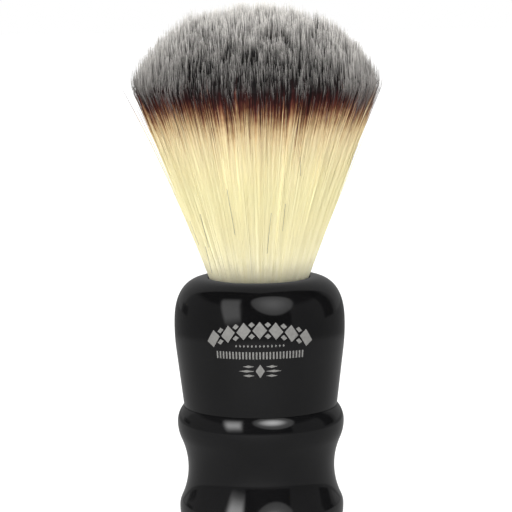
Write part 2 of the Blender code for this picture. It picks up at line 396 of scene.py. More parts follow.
def side_radius(z):
    """Radius of the barrel's side at a height under the shoulder: the slack arc, then the straight taper."""
    arc_end_z = RIM_Z - SHOULDER_DROP - SIDE_ARC_R * math.sin(TAPER)
    drop = RIM_Z - SHOULDER_DROP - max(z, arc_end_z)
    on_arc = SHOULDER_R - SIDE_ARC_R + math.sqrt(SIDE_ARC_R**2 - max(drop, 0.0) ** 2)
    return on_arc - max(arc_end_z - z, 0.0) * math.tan(TAPER)


def shoulder_radius(z):
    """Radius of the shoulder at a height between its widest point and the rim."""
    rise = min((z - RIM_Z + SHOULDER_DROP) / SHOULDER_DROP, 1.0)
    return SHOULDER_R - SHOULDER_INSET + SHOULDER_INSET * (1 - rise**SHOULDER_POWER) ** (1 / SHOULDER_POWER)


def barrel_outline():
    shoulder = shoulder_outline()
    edge_z = shoulder[0][1] - LIP_EDGE
    rim_edge = arc((LIP_R + LIP_EDGE, edge_z), LIP_EDGE, math.pi, math.pi / 2, 6)[:-1]
    bottom_z = GRIP_TOP_Z + SEAM
    heights = np.linspace(RIM_Z - SHOULDER_DROP, bottom_z + SEAM_EDGE_R, 30)[1:]
    side = [(side_radius(z), z) for z in heights]
    corner = arc((side[-1][0] - SEAM_EDGE_R, side[-1][1]), SEAM_EDGE_R, 0.0, -math.pi / 2, 5)[1:]
    inner_r = side[-1][0] - SHELL_WALL
    inside = [(inner_r, bottom_z), (inner_r, edge_z - LIP_DEPTH), (LIP_R, edge_z - LIP_DEPTH)]
    return rim_edge + shoulder + side + corner + inside


def grip_outline():
    bead_center = (BEAD_R - BEAD_LOWER_ARC_R, BEAD_Z)
    inset = WAIST_R - bead_center[0]
    drop = BEAD_Z - WAIST_Z
    waist_arc_r = (inset**2 + drop**2 - BEAD_LOWER_ARC_R**2) / (2 * (BEAD_LOWER_ARC_R - inset))
    waist_center = (WAIST_R + waist_arc_r, WAIST_Z)
    across = waist_center[0] - (FOOT_R - FOOT_ARC_R)
    foot_z = WAIST_Z - math.sqrt((waist_arc_r + FOOT_ARC_R) ** 2 - across**2)
    foot_center = (FOOT_R - FOOT_ARC_R, foot_z)
    first = math.asin((GRIP_TOP_Z - BEAD_Z) / BEAD_UPPER_ARC_R)
    points = arc((BEAD_R - BEAD_UPPER_ARC_R, BEAD_Z), BEAD_UPPER_ARC_R, first, 0.0, 24)
    to_waist = math.atan2(WAIST_Z - BEAD_Z, waist_center[0] - bead_center[0])
    points += arc(bead_center, BEAD_LOWER_ARC_R, 0.0, to_waist, 24)[1:]
    to_foot = math.atan2(foot_z - WAIST_Z, foot_center[0] - waist_center[0])
    points += arc(waist_center, waist_arc_r, to_waist + math.pi, to_foot + math.tau, 40)[1:]
    points += arc(foot_center, FOOT_ARC_R, to_foot + math.pi, 0.0, 20)[1:]
    bottom_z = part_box("grip_shell")[0][2]
    middle_r = FOOT_R - FOOT_EDGE_INSET
    for angle in np.linspace(0.0, math.pi / 2, 24)[1:]:
        z = foot_z - (foot_z - bottom_z) * math.sin(angle)
        points.append((middle_r + FOOT_EDGE_INSET * math.cos(angle), z))
    recess_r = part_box("base_cover")[1][0] + COVER_GAP
    recess_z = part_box("base_cover")[1][2] + COVER_GAP
    top_r = points[0][0] - SHELL_WALL
    cavity_r = recess_r - SHELL_WALL
    cavity_z = GRIP_TOP_Z - GRIP_TOP_WALL
    points += [(recess_r, bottom_z), (recess_r, recess_z), (cavity_r, recess_z)]
    return points + [(cavity_r, cavity_z), (top_r, cavity_z), (top_r, GRIP_TOP_Z)]


def cover_outline():
    """The base cover: a disc with a rounded edge and one raised ring that the pad sits inside."""
    low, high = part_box("base_cover")
    edge = 0.35 * MM
    edge_r = high[0] - edge
    ring_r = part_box("foot_pad")[1][0] + 0.15 * MM
    ring_edge = 0.1 * MM
    ring_z = low[2] - 0.2 * MM
    points = [(0.0, high[2])]
    points += arc((edge_r, high[2] - edge), edge, math.pi / 2, 0.0, 5)
    points += arc((edge_r, low[2]), edge, 0.0, -math.pi / 2, 5)
    points += arc((ring_r + ring_edge, ring_z), ring_edge, -math.pi / 2, -math.pi, 4)
    return points + [(ring_r, low[2]), (0.0, low[2])]


def pad_outline():
    """The rubber pad: a disc with a rounded lower edge and two shallow rings pressed into its face."""
    low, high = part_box("foot_pad")
    top_edge = 0.05 * MM
    edge = 0.3 * MM
    groove_r = 0.25 * MM
    points = [(0.0, high[2]), (high[0] - top_edge, high[2]), (high[0], high[2] - top_edge)]
    points += arc((high[0] - edge, low[2] + edge), edge, 0.0, -math.pi / 2, 6)
    for share in (0.78, 0.4):
        points += arc((share * high[0], low[2]), groove_r, 0.0, math.pi, 8)
    return points + [(0.0, low[2])]


# ---------------------------------------------------------------- handle

def make_black_lacquer():
    material, nodes, links, shader = new_material("handle_black")
    place = add(nodes, "ShaderNodeTexCoord")
    peel = add(nodes, "ShaderNodeTexNoise", Scale=900.0, Detail=2.0)
    links.new(place.outputs["Object"], peel.inputs["Vector"])
    bump = add(nodes, "ShaderNodeBump", Strength=0.05, Distance=0.00002)
    links.new(peel.outputs["Fac"], bump.inputs["Height"])
    links.new(bump.outputs["Normal"], shader.inputs["Normal"])
    haze = add(nodes, "ShaderNodeTexNoise", Scale=120.0, Detail=4.0)
    links.new(place.outputs["Object"], haze.inputs["Vector"])
    roughness = ramp(nodes, [(0.3, (0.05,) * 3), (0.7, (0.09,) * 3)])
    links.new(haze.outputs["Fac"], roughness.inputs["Fac"])
    links.new(roughness.outputs["Color"], shader.inputs["Roughness"])
    tint = ramp(nodes, [(0.3, (0.0028, 0.0028, 0.0030)), (0.7, (0.0040, 0.0039, 0.0042))])
    links.new(haze.outputs["Fac"], tint.inputs["Fac"])
    links.new(tint.outputs["Color"], shader.inputs["Base Color"])
    return material


def make_grained(name, dark, light, roughness, metallic=0.0, scale=400.0, stretch=(1.0, 1.0, 1.0), bump=0.1):
    """A material whose colour, roughness and bump follow one noise, stretched on an axis for turned metal."""
    material, nodes, links, shader = new_material(name)
    place = add(nodes, "ShaderNodeTexCoord")
    spread = add(nodes, "ShaderNodeMapping")
    spread.inputs["Scale"].default_value = stretch
    links.new(place.outputs["Object"], spread.inputs["Vector"])
    grain = add(nodes, "ShaderNodeTexNoise", Scale=scale, Detail=6.0)
    links.new(spread.outputs["Vector"], grain.inputs["Vector"])
    color = ramp(nodes, [(0.3, dark), (0.7, light)])
    links.new(grain.outputs["Fac"], color.inputs["Fac"])
    links.new(color.outputs["Color"], shader.inputs["Base Color"])
    rough = ramp(nodes, [(0.3, (roughness * 0.8,) * 3), (0.7, (roughness * 1.2,) * 3)])
    links.new(grain.outputs["Fac"], rough.inputs["Fac"])
    links.new(rough.outputs["Color"], shader.inputs["Roughness"])
    relief = add(nodes, "ShaderNodeBump", Strength=bump, Distance=0.00005)
    links.new(grain.outputs["Fac"], relief.inputs["Height"])
    links.new(relief.outputs["Normal"], shader.inputs["Normal"])
    shader.inputs["Metallic"].default_value = metallic
    return material


def finish_inner_nodes():
    """Gives the sealed inner CAD pieces their materials."""
    steel = make_grained("steel", (0.34,) * 3, (0.50, 0.50, 0.51), 0.35, 1.0, 300.0, (1, 1, 12))
    brass = make_grained("brass", (0.60, 0.42, 0.17), (0.78, 0.57, 0.26), 0.3, 1.0, 300.0, (1, 1, 12))
    adhesive = make_grained("adhesive", (0.54, 0.45, 0.27), (0.68, 0.58, 0.37), 0.35, scale=250.0, bump=0.3)
    cup_plastic = make_grained("cup_plastic", (0.74, 0.72, 0.66), (0.81, 0.79, 0.73), 0.5, scale=500.0)
    for material, names in (
        (steel, ("counterweight", "screw_washer", "tie_screw")),
        (brass, ("threaded_insert",)),
        (adhesive, ("socket_bedding", "knot_plug")),
        (cup_plastic, ("knot_cup",)),
    ):
        for name in names:
            frame["nodes"][name].material_slots[0].material = material


def make_handle():
    black = make_black_lacquer()
    barrel = turned("barrel", barrel_outline(), black)
    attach(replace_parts(barrel, "barrel_shell"), "handle")
    grip = turned("grip", grip_outline(), black)
    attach(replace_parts(grip, "grip_shell"), "handle")
    moulded = make_grained("cover_black", (0.017,) * 3, (0.024, 0.024, 0.025), 0.55, scale=900.0, bump=0.4)
    cover = turned("cover_disc", cover_outline(), moulded, closed=False, steps=120)
    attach(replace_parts(cover, "base_cover"), "handle")
    rubber = make_grained("pad_rubber", (0.024,) * 3, (0.036, 0.036, 0.038), 0.85, scale=1500.0, bump=0.6)
    pad = turned("pad_disc", pad_outline(), rubber, closed=False, steps=120)
    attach(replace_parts(pad, "foot_pad"), "handle")
    return grip


# ---------------------------------------------------------------- printed ornament

def mark(center, half_width, half_height, profile, count):
    """One printed mark as columns (along, low, high); profile shapes its half height from middle to tip."""
    columns = []
    for t in np.linspace(-1.0, 1.0, count + 1):
        half = max(half_height * profile(abs(t)), 0.01 * MM)
        columns.append((center[0] + t * half_width, center[1] - half, center[1] + half))
    return columns


def lozenge(t):
    return 1.0 - t


def bar(t):
    return 1.0


def on_arch(columns):
    """Lowers marks to follow the arch, by the square of how far along they are."""
    bent = []
    for along, low, high in columns:
        drop = ARCH_Z - ARCH_DROP * (along / ARCH_HALF_LENGTH) ** 2
        bent.append((along, low + drop, high + drop))
    return bent


def arch_marks():
    """A frieze along the arch: large lozenges, with a small one above and below each gap between two."""
    marks = []
    for i in range(-3, 4):
        marks.append(on_arch(mark((i * ARCH_SPACING, 0.0), 1.55 * MM, ARCH_HALF_HEIGHT, lozenge, 8)))
    for i in range(-3, 3):
        for side in (-1, 1):
            center = ((i + 0.5) * ARCH_SPACING, side * 0.66 * ARCH_HALF_HEIGHT)
            marks.append(on_arch(mark(center, 0.7 * MM, 0.6 * MM, lozenge, 4)))
    return marks


def row_marks(z, half_length, count, half_size, profile):
    """Small marks evenly spaced along a level row; half_size is half the width and height of each."""
    places = np.linspace(-half_length, half_length, count)
    return [mark((along, z), *half_size, profile, 6) for along in places]


def emblem_marks(z):
    """A lozenge between two pairs of tapering rays."""
    marks = [mark((0.0, z), 1.0 * MM, 1.5 * MM, lozenge, 2)]
    for side in (-1, 1):
        for reach, rise in ((3.4 * MM, 0.0), (2.5 * MM, 1.0 * MM), (2.5 * MM, -1.0 * MM)):
            center = (side * (1.3 * MM + reach / 2), z + rise)
            marks.append(mark(center, reach / 2, 0.28 * MM, lozenge, 6))
    return marks


def film_faces(first, columns, rows):
    """Faces of a closed film: points run inner, outer, up each column of rows, then column by column."""
    def point(column, row, outer):
        return first + 2 * (column * rows + row) + outer

    faces = []
    for i in range(columns - 1):
        for j in range(rows - 1):
            for outer in (0, 1):
                corners = ((i, j), (i + 1, j), (i + 1, j + 1), (i, j + 1))
                face = [point(column, row, outer) for column, row in corners]
                faces.append(face if outer else face[::-1])
        for row, turned_round in ((0, False), (rows - 1, True)):
            face = [point(i, row, 0), point(i + 1, row, 0), point(i + 1, row, 1), point(i, row, 1)]
            faces.append(face[::-1] if turned_round else face)
    for j in range(rows - 1):
        for i, turned_round in ((0, True), (columns - 1, False)):
            face = [point(i, j, 0), point(i, j + 1, 0), point(i, j + 1, 1), point(i, j, 1)]
            faces.append(face[::-1] if turned_round else face)
    return faces


def make_ornament():
    """Prints the ornament as a film of ink that hugs the barrel's front."""
    marks = arch_marks()
    marks += row_marks(SMALL_ROW_Z, 5.1 * MM, 13, (0.20 * MM, 0.32 * MM), lozenge)
    marks += row_marks(TICK_ROW_Z, 9.5 * MM, 27, (0.17 * MM, 0.78 * MM), bar)
    marks += emblem_marks(EMBLEM_Z)
    verts = []
    faces = []
    for columns in marks:
        first = len(verts)
        for along, low, high in columns:
            for z in np.linspace(low, high, INK_ROWS + 1):
                surface_r = side_radius(z) if z < RIM_Z - SHOULDER_DROP else shoulder_radius(z)
                turn = along / SHOULDER_R - math.pi / 2
                for r in (surface_r - INK_THICKNESS / 2, surface_r + INK_THICKNESS / 2):
                    verts.append((r * math.cos(turn), r * math.sin(turn), z))
        faces += film_faces(first, len(columns), INK_ROWS + 1)
    mesh = bpy.data.meshes.new("ornament")
    mesh.from_pydata(verts, [], faces)
    ink = make_grained("print_ink", srgb(109, 108, 106), srgb(124, 123, 120), 0.5, scale=1800.0)
    mesh.materials.append(ink)
    ornament = bpy.data.objects.new("ornament", mesh)
    bpy.context.scene.collection.objects.link(ornament)
    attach(ornament, "handle")


# ---------------------------------------------------------------- filaments

def envelope_radius(height):
    """Outer radius of the knot at a height above the rim, for arrays."""
    change_r = KNOT_R_AT_RIM + LOWER_FLARE * FLARE_CHANGE_HEIGHT
    heights = [-ROOT_DEPTH, FLARE_CHANGE_HEIGHT, FAN_EDGE_HEIGHT]
    radii = [KNOT_R_AT_RIM - LOWER_FLARE * ROOT_DEPTH, change_r, FAN_R]
    return np.interp(height, heights, radii)


def dome_height(rho):
    """Height at which a strand at a share rho of the envelope meets the dome, by bisection."""
    low = np.full_like(rho, DOME_BASE_HEIGHT)
    high = np.full_like(rho, LOFT)
    for _ in range(40):
        middle = (low + high) / 2
        across = rho * envelope_radius(middle) / DOME_R
        up = (middle - DOME_BASE_HEIGHT) / (LOFT - DOME_BASE_HEIGHT)
        outside = across**DOME_POWER + up**DOME_POWER > 1.0
        high = np.where(outside, middle, high)
        low = np.where(outside, low, middle)
    return low


def gather(rng, spots, count):
    """Groups spots by the nearest of count random centers; gives each spot's group and way to its center."""
    rho = np.sqrt(rng.random(count))
    turn = rng.uniform(0, math.tau, count)
    centers = np.stack([rho * np.cos(turn), rho * np.sin(turn)], axis=-1)
    tree = kdtree.KDTree(count)
    for i, (x, y) in enumerate(centers):
        tree.insert((x, y, 0.0), i)
    tree.balance()
    nearest = np.array([tree.find((x, y, 0.0))[1] for x, y in spots])
    return nearest, centers[nearest] - spots


def strand_layout(rng):
    """Places strands evenly over the knot's section, each with a tip height, a pull to its groups, a tone;
    the tone rises towards the knot's left and right as painted side light.
    """
    order = np.arange(STRANDS)
    rho = np.sqrt((order + 0.5) / STRANDS) + rng.normal(0, RHO_SCATTER, STRANDS)
    rho = np.clip(rho, INNERMOST_RHO, 1.0)
    golden_angle = math.pi * (3 - math.sqrt(5))
    turn = order * golden_angle + rng.normal(0, TURN_SCATTER, STRANDS)
    spots = np.stack([rho * np.cos(turn), rho * np.sin(turn)], axis=-1)
    tuft, to_tuft = gather(rng, spots, TUFTS)
    lock, to_lock = gather(rng, spots, LOCKS)
    shorter = rng.exponential(TIP_SCATTER, STRANDS) - TIP_RISE
    short = rng.random(STRANDS) < SHORT_SHARE
    shorter += np.where(short, rng.uniform(0, SHORT_LOSS, STRANDS), 0.0)
    short_outside = (rho > OUTER_SHORT_RHO) & (rng.random(STRANDS) < OUTER_SHORT_SHARE)
    shorter += np.where(short_outside, rng.uniform(0, OUTER_SHORT_LOSS, STRANDS), 0.0)
    shorter += rng.uniform(0, TUFT_LOSS, TUFTS)[tuft] + rng.uniform(0, LOCK_LOSS, LOCKS)[lock]
    tip = np.minimum(dome_height(rho) - shorter, LOFT)
    pull = to_tuft * rng.uniform(*TUFT_PULL, (STRANDS, 1)) + to_lock * rng.uniform(*LOCK_PULL, (STRANDS, 1))
    pull += rng.normal(0, TUFT_LEAN, (TUFTS, 2))[tuft]
    tuft_tone = rng.uniform(0, 1, TUFTS)[tuft]
    tone = TUFT_TONE_SHARE * tuft_tone + (1 - TUFT_TONE_SHARE) * rng.uniform(0, 1, STRANDS)
    tone *= np.interp(rho, OUTWARD_RHO, (1.0, OUTER_TONE))
    # Painted side light: strands towards the knot's left and right, less so on the outer skin, get more tone,
    # so longer and lighter pale tips.
    aside = np.abs(rho * np.cos(turn))
    tone += PAINTED_SIDE_LIGHT * np.interp(aside, PAINTED_SIDE_LIGHT_PLACES, (0.0, 1.0)) * np.interp(rho, SKIN_RHO, (1.0, SKIN_SIDE_LIGHT_SHARE))
    return rho, turn, tip, pull, tone


def tone_columns(rng, tip, tone):
    """Groups strands of like tip height and tone into columns of one tone and dye shift, for baking."""
    count = len(tip)
    tip_class = np.argsort(np.argsort(tip)) * TIP_CLASSES // count
    column = np.empty(count, int)
    column[np.lexsort((tone, tip_class))] = np.arange(count) * TONE_COLUMNS // count
    mean_tone = np.bincount(column, tone) / np.bincount(column)
    dye = rng.normal(0, DYE_SPREAD, TONE_COLUMNS)
    return column, mean_tone[column], dye[column]


def strand_paths(rng, rho, turn, tip, pull):
    """Points along each strand, from inside the socket to the tip, and how far each is from its tip."""
    count = len(rho)
    tail = tip[:, None] - TIP_STATIONS[None]
    body_top = tail[:, :1]
    share = np.linspace(0, 1, BODY_STATIONS)[None, :-1]
    body = -ROOT_DEPTH + (body_top + ROOT_DEPTH) * share
    height = np.hstack([body, tail])
    lift = np.clip(height / LOFT, 0, 1)
    is_loose = (rho > LOOSE_RHO) & (rng.random(count) < LOOSE_SHARE)
    loose = np.where(is_loose, rng.exponential(LOOSE_SPREAD, count), 0.0)
    radius = rho[:, None] * (envelope_radius(height) - OUTER_SPREAD * lift) + loose[:, None] * lift**2
    x = radius * np.cos(turn)[:, None]
    y = radius * np.sin(turn)[:, None]
    spread = np.where(rng.random((count, 1)) < WILD_SHARE, WILD_LEAN, LEAN)
    lean = rng.normal(0, 1, (count, 2)) * spread
    wave_size = rng.uniform(*WAVE_SIZE, (count, 1))
    wave_angle = height * rng.uniform(*WAVE_RADIANS_PER_M, (count, 1)) + rng.uniform(0, math.tau, (count, 1))
    wave = np.sin(wave_angle)
    heading = rng.uniform(0, math.tau, (count, 1))
    near_tip = np.clip(1 - (tip[:, None] - height) / TUFT_LENGTH, 0, 1)
    drawn_in = near_tip**TUFT_POWER * envelope_radius(height)
    x += lean[:, :1] * lift**2 + wave_size * wave * np.cos(heading) * lift + pull[:, :1] * drawn_in
    y += lean[:, 1:] * lift**2 + wave_size * wave * np.sin(heading) * lift + pull[:, 1:] * drawn_in
    x += TOP_LEAN * lift**4
    points = np.stack([x, y, height + RIM_Z], axis=-1)
    return points, tip[:, None] - height


def set_point_values(mesh, key, values):
    """Stores one number for each point, for the filament material to read."""
    layer = mesh.attributes.new(key, "FLOAT", "POINT")
    layer.data.foreach_set("value", values.astype(np.float32))


def strand_mesh(name, points, tip_distance, column, tone, dye, thickness):
    """One mesh of closed, tapering tubes along the given points."""
    count, stations, _ = points.shape
    ahead = np.empty_like(points)
    ahead[:, :-1] = points[:, 1:] - points[:, :-1]
    ahead[:, -1] = ahead[:, -2]
    ahead /= np.linalg.norm(ahead, axis=-1, keepdims=True)
    side = np.cross(ahead, [1.0, 0.0, 0.0])
    side /= np.linalg.norm(side, axis=-1, keepdims=True)
    other = np.cross(ahead, side)
    taper = np.clip(tip_distance / TIP_STATIONS[0], 0, 1) ** STRAND_TAPER_POWER
    radius = (TIP_R + (STRAND_R - TIP_R) * taper) * thickness[:, None]
    angles = np.arange(STRAND_SIDES) * (math.tau / STRAND_SIDES)
    ring = np.cos(angles)[:, None] * side[:, :, None, :] + np.sin(angles)[:, None] * other[:, :, None, :]
    verts = points[:, :, None, :] + radius[:, :, None, None] * ring
    strand = np.arange(count)[:, None, None] * stations * STRAND_SIDES
    row = np.arange(stations - 1)[None, :, None] * STRAND_SIDES
    this = np.arange(STRAND_SIDES)[None, None, :]
    following = (this + 1) % STRAND_SIDES
    a = strand + row + this
    b = strand + row + following
    c = b + STRAND_SIDES
    d = a + STRAND_SIDES
    walls = np.stack([np.stack([a, b, c], -1), np.stack([a, c, d], -1)], axis=-2)
    base = np.arange(count)[:, None] * stations * STRAND_SIDES
    root = base + np.array([[2, 1, 0]])
    top = base + (stations - 1) * STRAND_SIDES + np.array([[0, 1, 2]])
    walls = walls.reshape(count, -1, 3)
    triangles = np.concatenate([walls, root[:, None], top[:, None]], axis=1).reshape(-1, 3)
    mesh = bpy.data.meshes.new(name)
    mesh.from_pydata(verts.reshape(-1, 3), [], triangles)
    spread = np.broadcast_to(
        (np.arange(STRAND_SIDES) - 1) * TONE_COLUMN_SPREAD, (count, stations, STRAND_SIDES)
    )
    u = (column[:, None, None] + 0.5 + spread) / TONE_COLUMNS
    v = np.broadcast_to(
        ((points[:, :, 2] - RIM_Z + ROOT_DEPTH) / (LOFT + ROOT_DEPTH + UV_MARGIN))[:, :, None], u.shape
    )
    uv = np.stack([u, v], axis=-1).reshape(-1, 2)[triangles.ravel()]
    mesh.uv_layers.new(name="OFBake").data.foreach_set("uv", uv.ravel())
    dyed_height = points[:, :, 2] - RIM_Z + dye[:, None]
    for key, values in (
        ("tip_distance", tip_distance),
        ("dyed_height", dyed_height),
        ("tone", np.broadcast_to(tone[:, None], tip_distance.shape)),
    ):
        set_point_values(mesh, key, np.repeat(values.ravel(), STRAND_SIDES))
    mesh.shade_smooth()
    piece = bpy.data.objects.new(name, mesh)
    bpy.context.scene.collection.objects.link(piece)
    return piece


def make_filament_material():
    """Dye by height, pale near the tip; the higher a strand's tone, the further down its pale tip reaches and
    the lighter it is. The tone's rise towards the knot's left and right is painted side light; the ramps also
    paint light: paler cream near the rim, and lighter tips towards the dome's top.
    """
    material, nodes, links, shader = new_material("filament")
    dyed_height, tip_distance, tone = (
        add(nodes, "ShaderNodeAttribute", attribute_name=name).outputs["Fac"]
        for name in ("dyed_height", "tip_distance", "tone")
    )
    place = add(nodes, "ShaderNodeTexCoord")
    patch = add(nodes, "ShaderNodeTexNoise", Scale=700.0, Detail=1.0)
    links.new(place.outputs["Object"], patch.inputs["Vector"])
    shift = calculate(nodes, links, "MULTIPLY_ADD", patch.outputs["Fac"], DYE_PATCH, -DYE_PATCH / 2)
    share = calculate(nodes, links, "DIVIDE", calculate(nodes, links, "ADD", dyed_height, shift), LOFT)
    # The dye ramp also holds painted light: its cream is paler near the rim.
    dye_and_light = ramp(nodes, [(height / LOFT, shade) for height, shade in DYE_AND_LIGHT_STOPS])
    links.new(share, dye_and_light.inputs["Fac"])
    # The pale ramp lightens towards the dome's top, partly as painted light from above and through the tips.
    pale = ramp(nodes, [(height / LOFT, shade) for height, shade in TIP_STOPS])
    links.new(share, pale.inputs["Fac"])
    # Higher tone lets the pale tip reach further down; towards the knot's left and right this is painted side
    # light.
    long_tips = calculate(nodes, links, "POWER", tone, TONE_REACH_POWER)
    reach = calculate(nodes, links, "MULTIPLY_ADD", long_tips, TONE_REACH, PALE_REACH)
    bleached = ramp(nodes, [(0.0, (1, 1, 1)), (0.3, (0.6,) * 3), (1.0, (0, 0, 0))])
    links.new(calculate(nodes, links, "DIVIDE", tip_distance, reach), bleached.inputs["Fac"])
    tipped = add(nodes, "ShaderNodeMix", data_type="RGBA")
    links.new(bleached.outputs["Color"], tipped.inputs["Factor"])
    links.new(dye_and_light.outputs["Color"], tipped.inputs["A"])
    links.new(pale.outputs["Color"], tipped.inputs["B"])
    # Higher tone makes a strand a little lighter; towards the knot's left and right this is painted side
    # light.
    value = calculate(nodes, links, "MULTIPLY_ADD", tone, VALUE_BY_TONE, LOW_TONE_VALUE)
    final = add(nodes, "ShaderNodeHueSaturation")
    links.new(tipped.outputs["Result"], final.inputs["Color"])
    links.new(value, final.inputs["Value"])
    links.new(final.outputs["Color"], shader.inputs["Base Color"])
    shader.inputs["Roughness"].default_value = 0.42
    shader.inputs["Specular IOR Level"].default_value = 0.2
    return material


def link_filaments(piece, material):
    """Gives a filament piece its material, leaves it out of gloss reflections and bakes its placement into
    its mesh.
    """
    piece.data.materials.append(material)
    piece.visible_glossy = False
    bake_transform(piece)


def make_core(rng, material):
    """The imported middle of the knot: one ribbed body under the outer strands, deeper towards its top."""
    outline = [(0.0, RIM_Z + CORE_TOP)]
    for across, up in CORE_DOME_SHARES:
        outline.append((across * (FAN_R - CORE_TOP_INSET), RIM_Z + up * CORE_TOP))
    for height in np.linspace(FAN_EDGE_HEIGHT, -ROOT_DEPTH, CORE_ROWS):
        inset = np.interp(height, CORE_INSET_HEIGHTS, (CORE_INSET, CORE_TOP_INSET))
        outline.append((envelope_radius(height) - inset, RIM_Z + height))
    outline.append((0.0, RIM_Z - ROOT_DEPTH))
    core = turned("filaments_core", outline, closed=False, steps=CORE_RIBS)
    mesh = core.data
    spots = np.empty(3 * len(mesh.vertices))
    mesh.vertices.foreach_get("co", spots)
    spots = spots.reshape(-1, 3)
    rib = np.round(np.arctan2(spots[:, 1], spots[:, 0]) / math.tau * CORE_RIBS).astype(int) % CORE_RIBS
    spots[:, :2] *= rng.uniform(*CORE_RIB_SIZE, CORE_RIBS)[rib, None]
    mesh.vertices.foreach_set("co", spots.ravel())
    height = spots[:, 2] - RIM_Z
    set_point_values(mesh, "tip_distance", np.full(len(spots), LOFT))
    set_point_values(mesh, "dyed_height", height + rng.normal(0, DYE_SPREAD, CORE_RIBS)[rib])
    set_point_values(mesh, "tone", rng.uniform(0, 1, CORE_RIBS)[rib])
    link_filaments(core, material)


def make_dark_strays(rng, material):
    """A few dark filaments that lie on the outside of the pale lower stretch."""
    turn = rng.uniform(0, math.tau, STRAYS)
    foot = rng.uniform(*STRAY_FOOT, STRAYS)
    length = rng.uniform(*STRAY_LENGTH, STRAYS)
    share = np.linspace(0, 1, STRAY_STATIONS)[None]
    height = foot[:, None] + length[:, None] * share
    slant = turn[:, None] + rng.normal(0, STRAY_SLANT, (STRAYS, 1)) * share
    radius = envelope_radius(height) + STRAY_GAP
    points = np.stack([radius * np.cos(slant), radius * np.sin(slant), height + RIM_Z], axis=-1)
    tip_distance = np.full_like(height, STRAY_TIP_DISTANCE)
    column = np.arange(STRAYS)
    tone = rng.uniform(*STRAY_TONE, STRAYS)
    dye = np.full(STRAYS, LOFT)
    thickness = np.full(STRAYS, STRAY_THICKNESS)
    piece = strand_mesh("filaments_stray", points, tip_distance, column, tone, dye, thickness)
    link_filaments(piece, material)


def make_knot():
    rng = np.random.default_rng(SEED)
    rho, turn, tip, pull, tones = strand_layout(rng)
    material = make_filament_material()
    group = np.minimum((rho**2 * STRAND_GROUPS).astype(int), STRAND_GROUPS - 1)
    for i in range(STRAND_GROUPS):
        chosen = group == i
        points, tip_distance = strand_paths(rng, rho[chosen], turn[chosen], tip[chosen], pull[chosen])
        column, tone, dye = tone_columns(rng, tip[chosen], tones[chosen])
        thickness = THINNEST_STRAND + TONE_THICKENING * tone
        piece = strand_mesh(f"filaments_ring_{i + 1}", points, tip_distance, column, tone, dye, thickness)
        link_filaments(piece, material)
        if i == 0:
            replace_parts(piece, "filament_fan", "filament_root")
    make_core(rng, material)
    make_dark_strays(rng, material)


# ---------------------------------------------------------------- light, stage and camera

def shade_by_ray(nodes, links, camera, glossy, other):
    """One brightness for each kind of ray: from the camera, from a reflection, and from soft light."""
    path = add(nodes, "ShaderNodeLightPath")
    reflected = add(nodes, "ShaderNodeMix", data_type="RGBA")
    links.new(path.outputs["Is Glossy Ray"], reflected.inputs["Factor"])
    seen = add(nodes, "ShaderNodeMix", data_type="RGBA")
    links.new(path.outputs["Is Camera Ray"], seen.inputs["Factor"])
    links.new(reflected.outputs["Result"], seen.inputs["A"])
    for socket, source in (
        (seen.inputs["B"], camera), (reflected.inputs["B"], glossy), (reflected.inputs["A"], other)
    ):
        if isinstance(source, float):
            socket.default_value = (source, source, source, 1.0)
        else:
            links.new(source, socket)
    return seen.outputs["Result"]


def step_up(nodes, links, value, start, end):
    """0 before start and 1 after end, smooth between them."""
    step = add(nodes, "ShaderNodeMapRange", interpolation_type="SMOOTHSTEP", From_Min=start, From_Max=end)
    links.new(value, step.inputs["Value"])
    return step.outputs[0]


def window(nodes, links, value, low, high, soft):
    """1 between low and high and 0 outside, with smooth edges."""
    rise = step_up(nodes, links, value, low - soft, low + soft)
    fall = step_up(nodes, links, value, high - soft, high + soft)
    return calculate(nodes, links, "SUBTRACT", rise, fall)


def darkened(nodes, links, light, mask, share):
    """light, taken down by a share where mask is 1."""
    kept = calculate(nodes, links, "SUBTRACT", 1.0, calculate(nodes, links, "MULTIPLY", mask, share))
    return calculate(nodes, links, "MULTIPLY", light, kept)


def studio_room(nodes, links):
    """Brightness of the room around the table by azimuth, from -Y towards +X, and elevation, in radians."""
    place = add(nodes, "ShaderNodeTexCoord")
    split = add(nodes, "ShaderNodeSeparateXYZ")
    links.new(place.outputs["Generated"], split.inputs[0])
    ahead = calculate(nodes, links, "MULTIPLY", split.outputs["Y"], -1.0)
    azimuth = calculate(nodes, links, "ARCTAN2", split.outputs["X"], ahead)
    aside = calculate(nodes, links, "ABSOLUTE", azimuth)
    elevation = calculate(nodes, links, "ARCSINE", split.outputs["Z"])
    ceiling = step_up(nodes, links, elevation, *map(math.radians, CEILING_EDGE))
    front = darkened(nodes, links, ROOM_FRONT, ceiling, CEILING_DARKENING)
    middle = step_up(nodes, links, aside, *map(math.radians, BACK_MIDDLE_EDGE))
    back = darkened(nodes, links, ROOM_BACK, middle, BACK_MIDDLE_DARKENING)
    behind = step_up(nodes, links, aside, *map(math.radians, BACK_EDGE))
    back = calculate(nodes, links, "MULTIPLY", behind, back)
    room = calculate(nodes, links, "MAXIMUM", front, back)
    for azimuths, elevations, share in DARK_PATCHES:
        across = window(nodes, links, azimuth, *map(math.radians, azimuths))
        up = window(nodes, links, elevation, *map(math.radians, elevations))
        room = darkened(nodes, links, room, calculate(nodes, links, "MULTIPLY", across, up), share)
    return room


def make_world():
    """White behind the brush, a dim studio for its gloss to mirror, and even soft light."""
    world = bpy.data.worlds.new("studio")
    bpy.context.scene.world = world
    world.use_nodes = True
    nodes, links = world.node_tree.nodes, world.node_tree.links
    color = shade_by_ray(nodes, links, 1.0, studio_room(nodes, links), SOFT_LIGHT)
    links.new(color, nodes["Background"].inputs["Color"])


